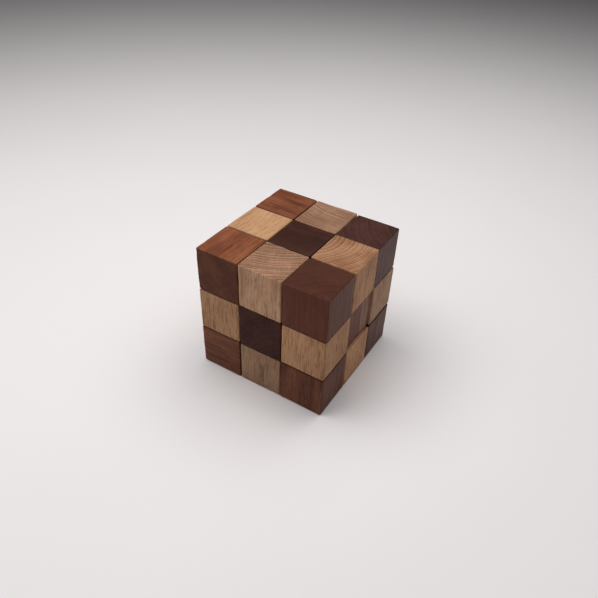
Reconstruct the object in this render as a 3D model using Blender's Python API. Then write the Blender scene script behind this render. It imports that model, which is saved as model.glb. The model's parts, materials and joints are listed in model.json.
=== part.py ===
"""Snake cube puzzle: 27 wooden cubelets strung on one elastic cord, folded into the solved cube.

The cord runs up and down the rows of each layer like a snake, then climbs to the next layer.
Every cubelet, every length of cord between two cubelets, and both end knots are separate solids.
Units are metres, +Z is up, and the cube stands on z = 0 with its middle on x = y = 0.
"""

import math

import bmesh
import bpy
from mathutils import Matrix, Vector

# Driving dimensions
PITCH = 0.020                   # centre to centre of neighbouring cubelets
FACE_GAP = 0.0003               # daylight between two neighbouring faces
SIDE = PITCH - FACE_GAP         # a cubelet's edge length
EDGE = 0.0009                   # width of the sanded edge
EDGE_SEGMENTS = 2
ROW_LENGTH = 3                  # cubelets in a row, rows in a layer, layers in the cube
STRETCH = 0.013                 # how far the cord lets the end of a row open

# Drilled holes, the cord in them, and its knots
HOLE_RADIUS = 0.0023
HOLE_SIDES = 16
CORD_RADIUS = 0.00125
CORD_SIDES = 12
KNOT_RADIUS = 0.0020
RUNNING_GAP = 0.0003            # between pieces that meet inside a hole
HOLD = 0.0015                   # length of cord still inside the cubelet at full stretch
PULL_DEPTH = STRETCH + HOLD - SIDE / 2      # a stretching cord starts this far past the centre
HOLE_TIP = 0.0006               # the drill runs this much deeper than the cord reaches
CUTTER_OVERLAP = 0.001

# One cubelet was sawn short on its outer face, so it sits back from its neighbours.
SHORT_CUBELET = 15
SHORT_BY = 0.0011

# Wood finish of each dark cubelet: the odd numbers are stained, the even ones are bare beech.
STAINS = {
    "reddish_stain": (1, 3, 7, 19, 25),
    "mahogany_stain": (5, 11, 15, 21),
    "chocolate_stain": (9, 13, 17, 23, 27),
}

# name: base colour, roughness
FINISHES = {
    "beech": ((0.52, 0.33, 0.19), 0.60),
    "reddish_stain": ((0.21, 0.075, 0.035), 0.48),
    "mahogany_stain": ((0.095, 0.030, 0.018), 0.48),
    "chocolate_stain": ((0.055, 0.027, 0.022), 0.50),
    "elastic": ((0.78, 0.74, 0.66), 0.85),
}


def clear_scene():
    for old in list(bpy.data.objects):
        bpy.data.objects.remove(old, do_unlink=True)


def make_material(name):
    colour, roughness = FINISHES[name]
    material = bpy.data.materials.new(name)
    material.use_nodes = True
    shader = material.node_tree.nodes["Principled BSDF"]
    shader.inputs["Base Color"].default_value = (*colour, 1.0)
    shader.inputs["Roughness"].default_value = roughness
    shader.inputs["Metallic"].default_value = 0.0
    material.diffuse_color = (*colour, 1.0)
    return material


def snake_cells():
    """Lattice cell of each cubelet, in the order in which the cord passes through them."""
    across = list(range(ROW_LENGTH))
    cells = []
    for layer in range(ROW_LENGTH):
        rows = across if layer % 2 == 0 else across[::-1]
        for row in rows:
            leftward = (layer * ROW_LENGTH + rows.index(row)) % 2 == 1
            cells += [(column, row, layer) for column in (across[::-1] if leftward else across)]
    return cells


def cell_centre(cell):
    middle = (ROW_LENGTH - 1) / 2
    column, row, layer = cell
    return Vector(((column - middle) * PITCH, (row - middle) * PITCH, layer * PITCH + SIDE / 2))


def is_row_end(number):
    """True for the cubelets whose link to the next one opens as the snake unfolds."""
    return number % ROW_LENGTH == 0


def kind_of(number, total, towards_last, towards_next):
    if number in (1, total):
        return "end"
    return "straight" if towards_last == -towards_next else "corner"


def finish_of(number):
    for stain, numbers in STAINS.items():
        if number in numbers:
            return stain
    return "beech"


def turn_to(direction):
    return Vector((0, 0, 1)).rotation_difference(direction)


def add_object(name, mesh, material, location, parent):
    piece = bpy.data.objects.new(name, mesh)
    mesh.materials.append(material)
    piece.location = location
    piece.parent = parent
    bpy.context.collection.objects.link(piece)
    return piece


def rod_mesh(name, radius, sides, low, high):
    """A round rod along local Z, from low to high."""
    mesh = bpy.data.meshes.new(name)
    shape = bmesh.new()
    middle = Matrix.Translation((0, 0, (low + high) / 2))
    bmesh.ops.create_cone(shape, cap_ends=True, segments=sides, radius1=radius, radius2=radius,
                          depth=high - low, matrix=middle)
    shape.to_mesh(mesh)
    shape.free()
    return mesh


def add_drill(name, centre, direction, start, parent):
    """A cutter from start, measured along direction from the cubelet's centre, out of its face."""
    mesh = rod_mesh(name, HOLE_RADIUS, HOLE_SIDES, start, SIDE / 2 + CUTTER_OVERLAP)
    drill = bpy.data.objects.new(name, mesh)
    drill.location = centre
    drill.rotation_mode = "QUATERNION"
    drill.rotation_quaternion = turn_to(direction)
    drill.parent = parent
    drill.hide_render = True
    drill.display_type = "WIRE"
    bpy.context.collection.objects.link(drill)
    return drill


def add_cubelet(name, number, centre, holes, material, parent):
    """holes is a list of (direction, start) pairs, as add_drill takes them."""
    mesh = bpy.data.meshes.new(name)
    shape = bmesh.new()
    bmesh.ops.create_cube(shape, size=SIDE)
    if number == SHORT_CUBELET:
        for corner in shape.verts:
            if corner.co.x > 0:
                corner.co.x -= SHORT_BY
    shape.to_mesh(mesh)
    shape.free()
    cubelet = add_object(name, mesh, material, centre, parent)
    sanding = cubelet.modifiers.new("sanded_edges", "BEVEL")
    sanding.width = EDGE
    sanding.segments = EDGE_SEGMENTS
    sanding.limit_method = "NONE"
    for place, (direction, start) in enumerate(holes, 1):
        drill = add_drill(f"drill_{number:02d}_{place}", centre, direction, start, parent)
        cut = cubelet.modifiers.new(f"hole_{place}", "BOOLEAN")
        cut.operation = "DIFFERENCE"
        cut.solver = "EXACT"
        cut.object = drill
    return cubelet


def add_cord(name, start, direction, low, high, material, parent):
    """A length of cord that runs from low to high along direction, measured from start."""
    mesh = rod_mesh(name, CORD_RADIUS, CORD_SIDES, low, high)
    mesh.shade_smooth()
    mesh.set_sharp_from_angle(angle=math.radians(40))
    cord = add_object(name, mesh, material, start, parent)
    cord.rotation_mode = "QUATERNION"
    cord.rotation_quaternion = turn_to(direction)
    return cord


def add_knot(name, place, material, parent):
    mesh = bpy.data.meshes.new(name)
    shape = bmesh.new()
    bmesh.ops.create_icosphere(shape, subdivisions=2, radius=KNOT_RADIUS)
    shape.to_mesh(mesh)
    shape.free()
    mesh.shade_smooth()
    return add_object(name, mesh, material, place, parent)


def hole_plan(number, total, towards_last, towards_next):
    """Where each hole of a cubelet starts. A corner cubelet's two holes meet at its centre."""
    if kind_of(number, total, towards_last, towards_next) == "straight":
        return [(towards_next, -SIDE / 2 - CUTTER_OVERLAP)]
    holes = []
    if number > 1:
        depth = CORD_RADIUS if is_row_end(number - 1) else 0.0
        holes.append((towards_last, -depth - HOLE_TIP))
    if number < total:
        depth = PULL_DEPTH if is_row_end(number) else 0.0
        holes.append((towards_next, -depth - HOLE_TIP))
    if number in (1, total):
        holes = [(direction, -KNOT_RADIUS - HOLE_TIP) for direction, _ in holes]
    return holes


def cord_span(number, total):
    """Low and high end of the cord between a cubelet and the next, from the first one's centre."""
    if is_row_end(number):
        return -PULL_DEPTH, PITCH + CORD_RADIUS
    beside_cord = CORD_RADIUS + RUNNING_GAP
    beside_knot = KNOT_RADIUS + RUNNING_GAP
    at_middle = RUNNING_GAP / 2
    if number % ROW_LENGTH == 1:
        return (beside_knot if number == 1 else beside_cord), PITCH - at_middle
    return at_middle, PITCH - (beside_knot if number + 1 == total else beside_cord)


def build():
    clear_scene()
    finishes = {name: make_material(name) for name in FINISHES}
    snake = bpy.data.objects.new("snake", None)
    bpy.context.collection.objects.link(snake)
    centres = [cell_centre(cell) for cell in snake_cells()]
    total = len(centres)
    steps = [(b - a).normalized() for a, b in zip(centres, centres[1:])]
    for number, centre in enumerate(centres, 1):
        towards_last = -steps[number - 2] if number > 1 else None
        towards_next = steps[number - 1] if number < total else None
        kind = kind_of(number, total, towards_last, towards_next)
        holes = hole_plan(number, total, towards_last, towards_next)
        name = f"cubelet_{number:02d}_{kind}"
        add_cubelet(name, number, centre, holes, finishes[finish_of(number)], snake)
    for number, (centre, step) in enumerate(zip(centres, steps), 1):
        low, high = cord_span(number, total)
        name = f"cord_{number:02d}_{number + 1:02d}"
        add_cord(name, centre, step, low, high, finishes["elastic"], snake)
    add_knot("knot_01", centres[0], finishes["elastic"], snake)
    add_knot(f"knot_{total:02d}", centres[-1], finishes["elastic"], snake)


build()
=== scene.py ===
"""Looks of the snake cube puzzle: sanded and stained wooden cubelets on a braided elastic cord."""

import json
import math
from collections import namedtuple

import bmesh
import bpy
import numpy as np
from mathutils import Euler, Matrix, Vector, noise


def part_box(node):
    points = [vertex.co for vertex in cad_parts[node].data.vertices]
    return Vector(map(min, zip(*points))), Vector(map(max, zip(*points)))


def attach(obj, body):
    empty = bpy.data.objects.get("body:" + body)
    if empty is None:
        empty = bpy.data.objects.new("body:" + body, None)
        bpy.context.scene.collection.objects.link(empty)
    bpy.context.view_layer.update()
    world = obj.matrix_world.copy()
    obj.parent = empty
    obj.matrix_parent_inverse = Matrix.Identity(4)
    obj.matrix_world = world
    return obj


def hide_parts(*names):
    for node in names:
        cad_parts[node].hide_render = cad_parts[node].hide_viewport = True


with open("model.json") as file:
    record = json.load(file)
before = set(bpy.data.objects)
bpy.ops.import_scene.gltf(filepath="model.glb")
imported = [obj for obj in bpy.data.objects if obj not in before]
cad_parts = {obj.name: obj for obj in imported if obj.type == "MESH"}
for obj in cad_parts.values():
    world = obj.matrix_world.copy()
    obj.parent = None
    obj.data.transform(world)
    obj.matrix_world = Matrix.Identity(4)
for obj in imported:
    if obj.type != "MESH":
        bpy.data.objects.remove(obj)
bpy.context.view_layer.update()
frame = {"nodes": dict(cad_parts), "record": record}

MM = 0.001

# Cubelets: sanded blocks that differ a little from each other
EDGE_RADIUS = 0.50 * MM
EDGE_VARIATION = 0.35           # share of the edge radius
ARC_STEPS = 3                   # mesh steps in half of a rounded edge
FLAT_STEPS = 14                 # mesh steps across a face
SAW_DEPTH = 0.035 * MM          # unevenness of a face
INSET = (0.01 * MM, 0.09 * MM)  # how far a face may stand inside its place
WOBBLE_DEGREES = 0.20           # how far a block may sit askew
# Blocks that were cut visibly small: their low and high insets along X, Y and Z
SMALL_CUTS = {
    9: ((0.1 * MM, 0.1 * MM, 0.05 * MM), (0.1 * MM, 0.1 * MM, 0.45 * MM)),
    15: ((0.1 * MM, 0.45 * MM, 0.1 * MM), (0.05 * MM, 0.1 * MM, 0.35 * MM)),
    27: ((0.1 * MM, 0.1 * MM, 0.1 * MM), (0.35 * MM, 0.05 * MM, 0.45 * MM)),
}
DENTS_PER_BLOCK = 5
DENT_DEPTH = (0.05 * MM, 0.16 * MM)
DENT_WIDTH = (0.9 * MM, 1.6 * MM)

# Drilled holes
HOLE_RADIUS = 2.3 * MM
MOUTH_RADIUS = 2.65 * MM        # the drill breaks the hole's edge
MOUTH_DEPTH = 0.35 * MM
HOLE_SIDES = 32
HOLE_REACH = {"end": 2.6 * MM, "corner": 5.2 * MM}      # past the centre

# Braided cord and its knots
CORD_SIDES = 32
STRANDS = 8
PLAIT_TURNS = 130               # turns of a strand in a metre
PLAIT_STEP = 0.28 * MM
PLAIT_DEPTH = 0.15 * MM
CORD_RADIUS = 1.25 * MM
CORD_TONES = ((0.25, (0.80, 0.76, 0.67)), (0.60, (0.66, 0.61, 0.52)), (0.95, (0.42, 0.37, 0.30)))
KNOT_REACH = 1.95 * MM
KNOT_TUBE = 0.62 * MM
KNOT_STEPS = 97
KNOT_SIDES = 12

# Camera: where it stands, as seen from the cube's middle
AZIMUTH = math.radians(30.39)
ELEVATION = math.radians(38.37)
ROLL = math.radians(2.43)
DISTANCE = 0.2522
AIM = Vector((0.0, 0.0, 0.0281))
LENS = 35.04
SENSOR = 36.0

# Floor and soft light: each lamp is a wide disk that faces the cube
FLOOR_REACH = 3.0
FLOOR_TONES = ((0.2, (0.79, 0.765, 0.77)), (0.8, (0.81, 0.785, 0.79)))
LIGHT_SIZE = 0.45
LIGHT_COLOUR = (1.0, 0.985, 0.98)
LIGHTS = (
    ("window", (-0.20, -0.09, 0.556), 2.10),
    ("ceiling", (0.16, 0.16, 0.556), 1.15),
    ("back", (0.0, 0.225, 0.556), 0.90),
    ("low", (-0.30, -0.30, 0.424), 0.46),
)
BACKDROP_COLOUR = (0.95, 0.94, 0.96, 1.0)
BACKDROP_STRENGTH = 0.03

# Woods, as light, middle and dark tones of the grain; edge is where the finish has worn
Wood = namedtuple("Wood", "light middle dark pore edge slot roughness figure")
WOODS = {
    "beech": Wood((0.49, 0.275, 0.150), (0.40, 0.213, 0.110), (0.27, 0.130, 0.062),
                  (0.16, 0.070, 0.032), (0.46, 0.26, 0.14), "beech", 0.58, 1.0),
    "yellow": Wood((0.55, 0.320, 0.172), (0.46, 0.255, 0.131), (0.32, 0.165, 0.080),
                   (0.20, 0.095, 0.045), (0.52, 0.30, 0.16), "beech", 0.56, 0.7),
    "grey": Wood((0.45, 0.270, 0.162), (0.36, 0.210, 0.124), (0.24, 0.132, 0.074),
                 (0.14, 0.074, 0.042), (0.42, 0.25, 0.15), "beech", 0.60, 1.0),
    "reddish": Wood((0.235, 0.082, 0.038), (0.165, 0.054, 0.025), (0.085, 0.026, 0.013),
                    (0.045, 0.014, 0.008), (0.20, 0.070, 0.034), "reddish_stain", 0.46, 0.9),
    "mahogany": Wood((0.140, 0.042, 0.020), (0.100, 0.029, 0.014), (0.050, 0.015, 0.009),
                     (0.028, 0.009, 0.006), (0.13, 0.042, 0.022), "mahogany_stain", 0.44, 0.5),
    "chocolate": Wood((0.098, 0.034, 0.021), (0.065, 0.022, 0.014), (0.034, 0.012, 0.009),
                      (0.020, 0.008, 0.006), (0.085, 0.032, 0.021), "chocolate_stain", 0.46, 0.8),
}

# Each cubelet's wood, its shade, and how it was cut: the way its fibres run, where the tree's centre
# lies across them and how wide its rings are, in millimetres, and how strongly they show.
Cut = namedtuple("Cut", "wood shade grain pith ring_width ring_strength")
CUTS = {
    1: Cut("reddish", 0.98, "x", (25, -18), 2.6, 0.35),
    2: Cut("grey", 0.9, "z", (-30, 20), 2.3, 0.45),
    3: Cut("reddish", 0.85, "z", (28, 25), 2.2, 0.55),
    4: Cut("beech", 1.33, "z", (22, 26), 3.0, 0.35),
    5: Cut("mahogany", 1.0, "x", (-20, 22), 2.4, 0.4),
    6: Cut("beech", 1.0, "z", (24, -22), 2.6, 0.4),
    7: Cut("reddish", 0.9, "y", (-24, 20), 2.4, 0.4),
    8: Cut("yellow", 0.95, "x", (18, 28), 2.8, 0.4),
    9: Cut("chocolate", 1.8, "z", (26, -20), 2.4, 0.6),
    10: Cut("grey", 1.08, "z", (-26, -24), 2.2, 0.45),
    11: Cut("mahogany", 1.1, "z", (22, 24), 2.4, 0.4),
    12: Cut("beech", 1.05, "y", (-22, -20), 2.6, 0.4),
    13: Cut("chocolate", 1.0, "x", (24, 18), 2.5, 0.4),
    14: Cut("beech", 1.0, "x", (-28, 14), 2.5, 0.4),
    15: Cut("mahogany", 1.5, "z", (-30, 16), 2.6, 0.35),
    16: Cut("beech", 1.09, "z", (-26, 30), 1.8, 0.5),
    17: Cut("chocolate", 1.3, "y", (20, 24), 2.6, 0.3),
    18: Cut("beech", 1.04, "z", (30, 22), 2.0, 0.5),
    19: Cut("reddish", 1.16, "y", (24, -26), 2.8, 0.15),
    20: Cut("grey", 1.40, "z", (-36, 66), 1.45, 1.25),
    21: Cut("mahogany", 1.15, "z", (24, -28), 2.8, 0.4),
    22: Cut("beech", 1.22, "z", (-21, 5), 1.4, 0.85),
    23: Cut("chocolate", 0.65, "x", (26, 20), 2.4, 0.3),
    24: Cut("yellow", 0.93, "y", (-24, 26), 2.4, 0.4),
    25: Cut("reddish", 1.06, "x", (-22, 24), 2.6, 0.5),
    26: Cut("grey", 1.26, "z", (12, 85), 1.2, 1.25),
    27: Cut("chocolate", 1.45, "z", (28, 22), 2.4, 0.5),
}
# How much of its colour the end grain keeps, in early wood and in late wood
BEECH_THIRST = ((0.70, 0.67, 0.70), (0.47, 0.43, 0.45))
STAIN_THIRST = ((0.56, 0.60, 0.72), (0.46, 0.50, 0.64))
WOOD_IOR = 1.45
WOOD_SPECULAR = 0.14
SAPWOOD_BLOCK = 15              # a dark block with a paler strip of sapwood along one side
SAPWOOD_START = 2.0 * MM
SAPWOOD_TONES = ((0.33, 0.165, 0.092), (0.25, 0.118, 0.064), (0.13, 0.055, 0.030))
GRAIN_AXES = {"x": (1, 0, 0), "y": (0, 1, 0), "z": (0, 0, 1)}
GRAIN_TURNS = {"x": (0, -math.pi / 2, 0), "y": (math.pi / 2, 0, 0), "z": (0, 0, 0)}


class Graph:
    """Short calls for building one material's nodes."""

    def __init__(self, material):
        self.tree = material.node_tree
        self.shader = self.tree.nodes["Principled BSDF"]

    def add(self, kind, **settings):
        made = self.tree.nodes.new(kind)
        for key, value in settings.items():
            setattr(made, key, value)
        return made

    def put(self, target, value):
        if hasattr(value, "is_output"):
            self.tree.links.new(value, target)
        else:
            target.default_value = value

    def math(self, operation, first, second=0.0, clamp=False):
        made = self.add("ShaderNodeMath", operation=operation, use_clamp=clamp)
        self.put(made.inputs[0], first)
        self.put(made.inputs[1], second)
        return made.outputs[0]

    def vector(self, operation, first, second=(0, 0, 0)):
        made = self.add("ShaderNodeVectorMath", operation=operation)
        self.put(made.inputs[0], first)
        self.put(made.inputs[1], second)
        return made.outputs["Value" if operation in ("LENGTH", "DOT_PRODUCT") else "Vector"]

    def noise(self, place, detail=2.0, roughness=0.5, output="Fac"):
        made = self.add("ShaderNodeTexNoise")
        self.put(made.inputs["Vector"], place)
        made.inputs["Scale"].default_value = 1.0
        made.inputs["Detail"].default_value = detail
        made.inputs["Roughness"].default_value = roughness
        return made.outputs[output]

    def span(self, value, low, high, to_low=0.0, to_high=1.0):
        made = self.add("ShaderNodeMapRange", interpolation_type="SMOOTHSTEP")
        self.put(made.inputs["Value"], value)
        for name, number in (("From Min", low), ("From Max", high), ("To Min", to_low), ("To Max", to_high)):
            made.inputs[name].default_value = number
        return made.outputs["Result"]

    def ramp(self, value, stops):
        made = self.add("ShaderNodeValToRGB")
        band = made.color_ramp
        while len(band.elements) < len(stops):
            band.elements.new(0.5)
        for element, (place, colour) in zip(band.elements, stops):
            element.position = place
            element.color = (*colour, 1.0) if len(colour) == 3 else colour
        self.put(made.inputs["Fac"], value)
        return made.outputs["Color"]

    def mix(self, share, first, second, blend="MIX"):
        made = self.add("ShaderNodeMix", data_type="RGBA", blend_type=blend)
        self.put(made.inputs["Factor"], share)
        self.put(made.inputs["A"], first if hasattr(first, "is_output") else (*first, 1.0))
        self.put(made.inputs["B"], second if hasattr(second, "is_output") else (*second, 1.0))
        return made.outputs["Result"]

    def attribute(self, name):
        return self.add("ShaderNodeAttribute", attribute_name=name).outputs["Fac"]


def new_material(name):
    material = bpy.data.materials.new(name)
    material.use_nodes = True
    return material, Graph(material)


def wood_material(number, cut):
    """Solid wood: rings, fibres, pores and rays run through the block, whichever face shows them."""
    wood = WOODS[cut.wood]
    material, graph = new_material(f"wood_{number:02d}_{cut.wood}")
    corner = graph.add("ShaderNodeTexCoord")
    turned = graph.add("ShaderNodeMapping")
    turned.inputs["Scale"].default_value = (1 / MM, 1 / MM, 1 / MM)
    turned.inputs["Rotation"].default_value = GRAIN_TURNS[cut.grain]
    turned.inputs["Location"].default_value = (-cut.pith[0], -cut.pith[1], 37.0 * number)
    graph.put(turned.inputs["Vector"], corner.outputs["Object"])
    place = turned.outputs["Vector"]

    # Growth rings round the tree's centre, bent a little, with years of uneven width
    sway = graph.noise(graph.vector("MULTIPLY", place, (0.07, 0.07, 0.025)), 2.0, output="Color")
    sway = graph.vector("MULTIPLY", graph.vector("SUBTRACT", sway, (0.5, 0.5, 0.5)), (3.5, 3.5, 0.0))
    bent = graph.vector("ADD", place, sway)
    outward = graph.vector("LENGTH", graph.vector("MULTIPLY", bent, (1, 1, 0.02)))
    years = graph.math("DIVIDE", outward, cut.ring_width)
    pace = graph.add("ShaderNodeTexNoise", noise_dimensions="1D")
    graph.put(pace.inputs["W"], graph.math("ADD", graph.math("MULTIPLY", years, 0.35), number * 3.7))
    pace.inputs["Scale"].default_value = 1.0
    years = graph.math("ADD", years, graph.math("MULTIPLY", pace.outputs["Fac"], 2.2))
    season = graph.math("FRACT", years)
    black, white = (0.0, 0.0, 0.0), (1.0, 1.0, 1.0)
    late = graph.ramp(season, [(0.0, black), (0.14, black), (0.20, (0.30,) * 3), (0.70, (0.45,) * 3),
                               (0.92, white), (1.0, black)])

    # Cloudy patches, streaks and fibres, all drawn out along the grain
    blotch = graph.noise(graph.vector("MULTIPLY", place, (0.11, 0.11, 0.045)), 3.0)
    streak = graph.noise(graph.vector("MULTIPLY", bent, (1.1, 1.1, 0.045)), 4.0, 0.62)
    fibre = graph.noise(graph.vector("MULTIPLY", place, (5.5, 5.5, 0.22)), 3.0, 0.6)

    # Rays, which run outward from the tree's centre
    parts = graph.add("ShaderNodeSeparateXYZ")
    graph.put(parts.inputs[0], bent)
    angle = graph.math("ARCTAN2", parts.outputs["Y"], parts.outputs["X"])
    far = math.hypot(*cut.pith)
    spoke = graph.add("ShaderNodeCombineXYZ")
    graph.put(spoke.inputs["X"], graph.math("MULTIPLY", angle, far * 2.2))
    graph.put(spoke.inputs["Y"], graph.math("MULTIPLY", outward, 0.22))
    graph.put(spoke.inputs["Z"], graph.math("MULTIPLY", parts.outputs["Z"], 0.45))
    ray = graph.span(graph.noise(spoke.outputs[0], 1.0), 0.60, 0.72)

    # Pores, as short dark dashes, and the broader flecks that show on side grain only
    cells = graph.add("ShaderNodeTexVoronoi")
    graph.put(cells.inputs["Vector"], graph.vector("MULTIPLY", place, (3.2, 3.2, 0.26)))
    cells.inputs["Scale"].default_value = 1.0
    pore = graph.span(cells.outputs["Distance"], 0.10, 0.24, 1.0, 0.0)
    pore = graph.math("MULTIPLY", pore, graph.span(fibre, 0.42, 0.60))

    across = graph.vector("DOT_PRODUCT", corner.outputs["Normal"], GRAIN_AXES[cut.grain])
    end_grain = graph.span(graph.math("ABSOLUTE", across), 0.60, 0.98)
    side_grain = graph.span(end_grain, 0.0, 1.0, 1.0, 0.3)
    ring = graph.math("MULTIPLY", late, graph.span(end_grain, 0.0, 1.0, 0.30, 1.0))
    fleck = graph.noise(graph.vector("MULTIPLY", place, (2.0, 2.0, 0.20)), 3.0, 0.6)
    fleck = graph.math("MULTIPLY", graph.span(fleck, 0.50, 0.63), graph.span(end_grain, 0.0, 1.0, 1.0, 0.15))

    # How dark the wood is at each point, and its colour
    tone = graph.math("MULTIPLY", ring, cut.ring_strength)
    tone = graph.math("ADD", tone, graph.span(blotch, 0.3, 0.7, -0.12, 0.42))
    bands = 0.26 if wood.slot == "beech" else 0.55
    bands = graph.math("MULTIPLY", graph.span(streak, 0.34, 0.70, 0.0, bands), side_grain)
    tone = graph.math("ADD", tone, bands)
    tone = graph.math("ADD", tone, graph.span(fibre, 0.3, 0.7, -0.05, 0.12))
    tone = graph.math("ADD", tone, graph.math("MULTIPLY", fleck, 0.75 if wood.slot == "beech" else 0.25))
    tone = graph.math("SUBTRACT", tone, graph.math("MULTIPLY", ray, 0.28))
    tone = graph.math("ADD", graph.math("MULTIPLY", tone, wood.figure), 0.4 * (1 - wood.figure), clamp=True)
    colour = graph.ramp(tone, [(0.0, wood.light), (0.48, wood.middle), (1.0, wood.dark)])
    colour = graph.mix(graph.math("MULTIPLY", pore, 0.55 * wood.figure), colour, wood.pore)
    thirst = BEECH_THIRST if wood.slot == "beech" else STAIN_THIRST
    season_tone = graph.math("MULTIPLY", late, min(1.0, cut.ring_strength))
    season_tone = graph.math("SUBTRACT", season_tone, graph.math("MULTIPLY", ray, 0.3), clamp=True)
    darkened = graph.mix(1.0, colour, graph.mix(season_tone, *thirst), "MULTIPLY")
    colour = graph.mix(end_grain, colour, darkened)
    colour = graph.mix(1.0, colour, (cut.shade,) * 3, "MULTIPLY")
    if number == SAPWOOD_BLOCK:
        side = graph.add("ShaderNodeSeparateXYZ")
        graph.put(side.inputs[0], corner.outputs["Object"])
        border = graph.math("ADD", side.outputs["Y"], graph.math("MULTIPLY", streak, 0.5 * MM))
        sapwood = graph.span(border, SAPWOOD_START, SAPWOOD_START + 0.3 * MM)
        pale = graph.ramp(tone, list(zip((0.2, 0.45, 0.8), SAPWOOD_TONES)))
        colour = graph.mix(graph.math("MULTIPLY", sapwood, 0.85), colour, pale)
        line = graph.math("ABSOLUTE", graph.math("SUBTRACT", border, SAPWOOD_START))
        colour = graph.mix(graph.span(line, 0.05 * MM, 0.3 * MM, 0.8, 0.0), colour, wood.dark)

    # Wear on the edges, and bare wood inside the holes
    rub = graph.noise(graph.vector("MULTIPLY", place, (0.9, 0.9, 0.9)), 3.0, 0.65)
    worn = graph.math("MULTIPLY", graph.attribute("edge"), graph.span(rub, 0.40, 0.66))
    colour = graph.mix(graph.math("MULTIPLY", worn, 0.40), colour, wood.edge)
    bare = WOODS["beech"].middle
    colour = graph.mix(graph.math("MULTIPLY", graph.attribute("bore"), 0.75), colour, bare)
    graph.put(graph.shader.inputs["Base Color"], colour)

    sheen = graph.span(streak, 0.3, 0.7, wood.roughness - 0.06, wood.roughness + 0.08)
    sheen = graph.math("ADD", sheen, graph.math("MULTIPLY", pore, 0.15))
    sheen = graph.math("ADD", sheen, graph.math("MULTIPLY", end_grain, 0.22))
    sheen = graph.math("SUBTRACT", sheen, graph.math("MULTIPLY", worn, 0.08))
    graph.put(graph.shader.inputs["Roughness"], sheen)

    relief = graph.math("MULTIPLY", fibre, 0.5)
    relief = graph.math("ADD", relief, graph.math("MULTIPLY", streak, 0.4))
    relief = graph.math("SUBTRACT", relief, graph.math("MULTIPLY", pore, 0.7))
    relief = graph.math("SUBTRACT", relief, graph.math("MULTIPLY", late, 0.15))
    bump = graph.add("ShaderNodeBump")
    bump.inputs["Strength"].default_value = 0.35
    bump.inputs["Distance"].default_value = 0.05 * MM
    graph.put(bump.inputs["Height"], relief)
    graph.put(graph.shader.inputs["Normal"], bump.outputs["Normal"])
    graph.shader.inputs["IOR"].default_value = WOOD_IOR
    graph.shader.inputs["Specular IOR Level"].default_value = WOOD_SPECULAR
    return material


def cord_material():
    """Braided cotton cover over rubber: fine yarn lines, a little grubby."""
    material, graph = new_material("braided_elastic")
    place = graph.vector("MULTIPLY", graph.add("ShaderNodeTexCoord").outputs["Object"], (1 / MM,) * 3)
    yarn = graph.noise(graph.vector("MULTIPLY", place, (9.0, 9.0, 9.0)), 3.0, 0.6)
    grime = graph.noise(graph.vector("MULTIPLY", place, (0.35, 0.35, 0.35)), 3.0, 0.6)
    tone = graph.math("MULTIPLY", yarn, 0.55)
    tone = graph.math("ADD", tone, graph.math("MULTIPLY", grime, 0.55), clamp=True)
    graph.put(graph.shader.inputs["Base Color"], graph.ramp(tone, CORD_TONES))
    graph.put(graph.shader.inputs["Roughness"], graph.span(yarn, 0.3, 0.7, 0.78, 0.92))
    bump = graph.add("ShaderNodeBump")
    bump.inputs["Strength"].default_value = 0.5
    bump.inputs["Distance"].default_value = 0.04 * MM
    graph.put(bump.inputs["Height"], yarn)
    graph.put(graph.shader.inputs["Normal"], bump.outputs["Normal"])
    graph.shader.inputs["Sheen Weight"].default_value = 0.15
    return material


def finish_object(name, vertices, faces, material):
    mesh = bpy.data.meshes.new(name)
    mesh.from_pydata([tuple(point) for point in vertices], [], faces)
    mesh.update()
    mesh.materials.append(material)
    mesh.shade_smooth()
    piece = bpy.data.objects.new(name, mesh)
    bpy.context.collection.objects.link(piece)
    return piece


def edge_steps(low, high):
    """Places of the mesh lines across a face, close together where its edges are rounded."""
    arc = [EDGE_RADIUS * math.tan(math.pi / 4 * step / ARC_STEPS) for step in range(1, ARC_STEPS + 1)]
    start, end = low + EDGE_RADIUS, high - EDGE_RADIUS
    middle = np.linspace(start, end, FLAT_STEPS + 1)
    return np.concatenate([[start - step for step in reversed(arc)], middle, [end + step for step in arc]])


def block_grid(low, high):
    """Points and quads of a box whose six faces are gridded by edge_steps."""
    lines = [edge_steps(low[axis], high[axis]) for axis in range(3)]
    last = len(lines[0]) - 1
    numbers = {}
    points = []
    quads = []

    def point(axis, side, one, i, two, j):
        key = [0, 0, 0]
        key[axis] = side
        key[one] = i
        key[two] = j
        key = tuple(key)
        if key not in numbers:
            numbers[key] = len(points)
            points.append([lines[k][key[k]] for k in range(3)])
        return numbers[key]

    for axis in range(3):
        one, two = (axis + 1) % 3, (axis + 2) % 3
        for side in (0, last):
            for i in range(last):
                for j in range(last):
                    corners = ((i, j), (i + 1, j), (i + 1, j + 1), (i, j + 1))
                    quad = [point(axis, side, one, a, two, b) for a, b in corners]
                    quads.append(quad if side else quad[::-1])
    return np.array(points), quads


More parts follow.
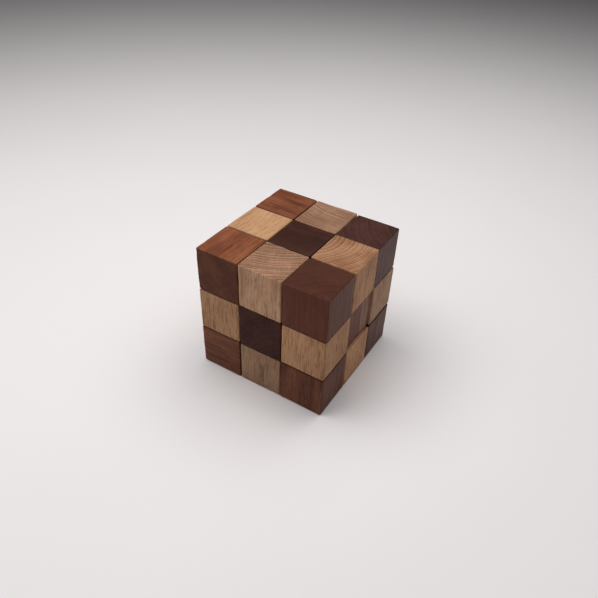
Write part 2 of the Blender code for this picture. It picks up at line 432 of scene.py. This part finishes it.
def sand(points, low, high, number):
    """Rounds the box's edges by an uneven amount, roughens its faces, and knocks small dents in."""
    chance = np.random.default_rng(900 + number)
    shift = Vector(chance.uniform(-50, 50, 3))
    dents = []
    for _ in range(DENTS_PER_BLOCK):
        spot = np.where(chance.random(3) < 0.5, low, high)
        along = chance.integers(3)
        spot[along] = chance.uniform(low[along], high[along])
        dents.append((spot, chance.uniform(*DENT_DEPTH), chance.uniform(*DENT_WIDTH)))
    made = []
    for place in points:
        soft = noise.noise(Vector(place) / (7 * MM) + shift)
        radius = EDGE_RADIUS * (1 + EDGE_VARIATION * soft)
        core = np.clip(place, low + radius, high - radius)
        out = place - core
        normal = out / np.linalg.norm(out)
        rough = abs(noise.noise(Vector(place) / (4.5 * MM) - shift)) * SAW_DEPTH
        spot = core + normal * (radius - rough)
        for centre, depth, width in dents:
            near = np.linalg.norm(place - centre) / width
            spot = spot - normal * depth * math.exp(-near * near)
        made.append(spot)
    return np.array(made)


def drill_mesh(bottom, top, through):
    """A drill along Z. It breaks the edge of the hole at each face it leaves."""
    wide = 2 * MOUTH_RADIUS - HOLE_RADIUS
    profile = [(HOLE_RADIUS, top - MOUTH_DEPTH), (wide, top + MOUTH_DEPTH), (wide, top + MM)]
    if through:
        far_mouth = [(wide, bottom - MM), (wide, bottom - MOUTH_DEPTH), (HOLE_RADIUS, bottom + MOUTH_DEPTH)]
        profile = far_mouth + profile
    else:
        profile = [(HOLE_RADIUS, bottom)] + profile
    shape = bmesh.new()
    rings = []
    for radius, height in profile:
        turns = [2 * math.pi * step / HOLE_SIDES for step in range(HOLE_SIDES)]
        rings.append([shape.verts.new((radius * math.cos(a), radius * math.sin(a), height)) for a in turns])
    for below, above in zip(rings, rings[1:]):
        for step in range(HOLE_SIDES):
            after = (step + 1) % HOLE_SIDES
            shape.faces.new((below[step], below[after], above[after], above[step]))
    shape.faces.new(rings[0][::-1])
    shape.faces.new(rings[-1])
    mesh = bpy.data.meshes.new("drill")
    shape.to_mesh(mesh)
    shape.free()
    return mesh


def drill(piece, direction, bottom, top, through):
    """Cuts one hole, along direction through the piece's origin."""
    mesh = drill_mesh(bottom, top, through)
    cutter = bpy.data.objects.new("drill", mesh)
    cutter.rotation_mode = "QUATERNION"
    cutter.rotation_quaternion = Vector((0, 0, 1)).rotation_difference(direction)
    bpy.context.collection.objects.link(cutter)
    cut = piece.modifiers.new("hole", "BOOLEAN")
    cut.operation = "DIFFERENCE"
    cut.solver = "EXACT"
    cut.object = cutter
    bpy.context.view_layer.update()
    seen = piece.evaluated_get(bpy.context.evaluated_depsgraph_get())
    holed = bpy.data.meshes.new_from_object(seen)
    piece.modifiers.clear()
    before = piece.data
    piece.data = holed
    bpy.data.meshes.remove(before)
    bpy.data.objects.remove(cutter)
    bpy.data.meshes.remove(mesh)


def mark_wear(piece, low, high, directions):
    """Stores where the edges are, and where the raw wood of the holes is, for the material."""
    mesh = piece.data
    places = np.empty(len(mesh.vertices) * 3)
    mesh.vertices.foreach_get("co", places)
    places = places.reshape(-1, 3)
    room = np.sort(np.minimum(places - low, high - places), axis=1)
    edge = np.clip(1.0 - room[:, 1] / EDGE_RADIUS, 0.0, 1.0)
    bore = np.zeros(len(places))
    for direction in directions:
        along = places @ np.array(direction)
        aside = np.linalg.norm(places - np.outer(along, direction), axis=1)
        bore[(aside < MOUTH_RADIUS) & (room[:, 0] > MOUTH_DEPTH / 2)] = 1.0
    for name, values in (("edge", edge), ("bore", bore)):
        mesh.attributes.new(name, "FLOAT", "POINT").data.foreach_set("value", values)
    mesh.shade_smooth()
    mesh.set_sharp_from_angle(angle=math.radians(35))


def middle_of(node):
    low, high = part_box(node)
    return (Vector(low) + Vector(high)) / 2


def make_cubelet(number, node, cords):
    """cords is a list of (the cord's node, its direction out of this cubelet)."""
    kind = node.split("_")[-1]
    centre = middle_of(node)
    for cord, direction in cords:
        for axis in range(3):
            if abs(direction[axis]) < 0.5:
                centre[axis] = middle_of(cord)[axis]
    chance = np.random.default_rng(300 + number)
    inset = SMALL_CUTS.get(number, chance.uniform(*INSET, (2, 3)))
    place = np.array(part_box(node)) - np.array(centre)
    low = place[0] + np.array(inset[0])
    high = place[1] - np.array(inset[1])
    points, quads = block_grid(low, high)
    material = wood_material(number, CUTS[number])
    askew = Euler([math.radians(angle) for angle in chance.uniform(-WOBBLE_DEGREES, WOBBLE_DEGREES, 3)])
    points = sand(points, low, high, number) @ np.array(askew.to_matrix()).T
    points = np.clip(points, place[0], place[1])
    piece = finish_object(f"wood_{number:02d}", points, quads, material)
    directions = [direction for _, direction in cords]
    for direction in directions[:1] if kind == "straight" else directions:
        ends = sorted((np.array(direction) @ low, np.array(direction) @ high))
        bottom = ends[0] if kind == "straight" else -HOLE_REACH[kind]
        drill(piece, direction, bottom, ends[1], kind == "straight")
    mark_wear(piece, low, high, directions)
    piece.location = centre
    return piece


def tube(name, path, radius_at, sides, material):
    """A closed tube along a list of points, with flat ends. radius_at(step, turn) gives its radius."""
    path = [Vector(point) for point in path]
    points = []
    side = None
    for step, middle in enumerate(path):
        ahead = path[min(step + 1, len(path) - 1)] - path[max(step - 1, 0)]
        ahead.normalize()
        if side is None:
            side = ahead.orthogonal().normalized()
        side = (side - ahead * side.dot(ahead)).normalized()
        other = ahead.cross(side)
        for turn in range(sides):
            angle = 2 * math.pi * turn / sides
            reach = radius_at(step, angle)
            points.append(middle + side * (reach * math.cos(angle)) + other * (reach * math.sin(angle)))
    faces = []
    for step in range(len(path) - 1):
        for turn in range(sides):
            after = (turn + 1) % sides
            a, b = step * sides, (step + 1) * sides
            faces.append((a + turn, a + after, b + after, b + turn))
    faces.append(tuple(range(sides))[::-1])
    faces.append(tuple((len(path) - 1) * sides + turn for turn in range(sides)))
    return finish_object(name, points, faces, material)


def make_cord(node, direction, material):
    """One length of the braided cord, where the CAD has its rod."""
    low, high = (Vector(corner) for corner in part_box(node))
    centre = middle_of(node)
    half = abs((high - low).dot(direction)) / 2
    steps = max(4, round(2 * half / PLAIT_STEP))
    start = centre - direction * half
    path = [start + direction * (2 * half * step / steps) for step in range(steps + 1)]

    def radius_at(step, angle):
        turned = 2 * math.pi * PLAIT_TURNS * (2 * half * step / steps)
        over = abs(math.sin(STRANDS / 2 * (angle + turned))) * abs(math.sin(STRANDS / 2 * (angle - turned)))
        return CORD_RADIUS - PLAIT_DEPTH * (1 - over)

    return tube(node.replace("cord", "braid"), path, radius_at, CORD_SIDES, material)


def make_knot(node, material):
    """The cord's end tied in a tight overhand knot, a trefoil."""
    centre = middle_of(node)
    scale = (KNOT_REACH - KNOT_TUBE) / 3
    path = []
    for step in range(KNOT_STEPS):
        turn = 2 * math.pi * step / KNOT_STEPS
        path.append(centre + scale * Vector((math.sin(turn) + 2 * math.sin(2 * turn),
                                             math.cos(turn) - 2 * math.cos(2 * turn),
                                             -math.sin(3 * turn))))
    return tube(node.replace("knot", "tied_end"), path, lambda step, angle: KNOT_TUBE, KNOT_SIDES, material)


def make_snake():
    nodes = frame["nodes"]
    body_of = {node: body for body, group in frame["record"]["behaviour"]["bodies"].items() for node in group}
    blocks = sorted(name for name in nodes if name.startswith("cubelet"))
    centres = [middle_of(name) for name in blocks]
    steps = []
    for here, there in zip(centres, centres[1:]):
        step = there - here
        longest = max(range(3), key=lambda axis: abs(step[axis]))
        steps.append(Vector([math.copysign(1, step[axis]) if axis == longest else 0 for axis in range(3)]))
    for number, node in enumerate(blocks, 1):
        cords = []
        if number > 1:
            cords.append((f"cord_{number - 1:02d}_{number:02d}", -steps[number - 2]))
        if number < len(blocks):
            cords.append((f"cord_{number:02d}_{number + 1:02d}", steps[number - 1]))
        piece = make_cubelet(number, node, cords)
        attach(piece, body_of[node])
        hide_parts(node)
    elastic = cord_material()
    for number, step in enumerate(steps, 1):
        node = f"cord_{number:02d}_{number + 1:02d}"
        piece = make_cord(node, step, elastic)
        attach(piece, body_of[node])
        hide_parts(node)
    for node in sorted(name for name in nodes if name.startswith("knot")):
        piece = make_knot(node, elastic)
        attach(piece, body_of[node])
        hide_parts(node)


def make_floor():
    material, graph = new_material("paper_floor")
    place = graph.add("ShaderNodeTexCoord").outputs["Object"]
    mottle = graph.noise(graph.vector("MULTIPLY", place, (9.0, 9.0, 9.0)), 2.0)
    graph.put(graph.shader.inputs["Base Color"], graph.ramp(mottle, FLOOR_TONES))
    graph.shader.inputs["Roughness"].default_value = 0.75
    reach = FLOOR_REACH
    corners = [(-reach, -reach, 0), (reach, -reach, 0), (reach, reach, 0), (-reach, reach, 0)]
    floor = finish_object("floor", corners, [(0, 1, 2, 3)], material)


def make_camera():
    away = Vector((math.sin(AZIMUTH) * math.cos(ELEVATION), -math.cos(AZIMUTH) * math.cos(ELEVATION),
                   math.sin(ELEVATION)))
    camera = bpy.data.objects.new("camera", bpy.data.cameras.new("camera"))
    camera.data.lens = LENS
    camera.data.sensor_width = SENSOR
    camera.data.clip_start = 0.01
    camera.location = AIM + away * DISTANCE
    facing = (-away).to_track_quat("-Z", "Y").to_matrix()
    camera.rotation_euler = (facing @ Matrix.Rotation(ROLL, 3, "Z")).to_euler()
    bpy.context.collection.objects.link(camera)
    bpy.context.scene.camera = camera


def make_light(name, place, watts):
    lamp = bpy.data.lights.new(name, "AREA")
    lamp.shape = "DISK"
    lamp.size = LIGHT_SIZE
    lamp.energy = watts
    lamp.color = LIGHT_COLOUR
    light = bpy.data.objects.new(name, lamp)
    light.location = place
    light.rotation_euler = (AIM - Vector(place)).to_track_quat("-Z", "Y").to_euler()
    bpy.context.collection.objects.link(light)


def make_studio():
    for name, place, watts in LIGHTS:
        make_light(name, place, watts)
    world = bpy.data.worlds.new("studio")
    world.use_nodes = True
    backdrop = world.node_tree.nodes["Background"]
    backdrop.inputs["Color"].default_value = BACKDROP_COLOUR
    backdrop.inputs["Strength"].default_value = BACKDROP_STRENGTH
    bpy.context.scene.world = world
    bpy.context.scene.view_settings.view_transform = "Standard"


make_camera()
make_floor()
make_studio()
make_snake()
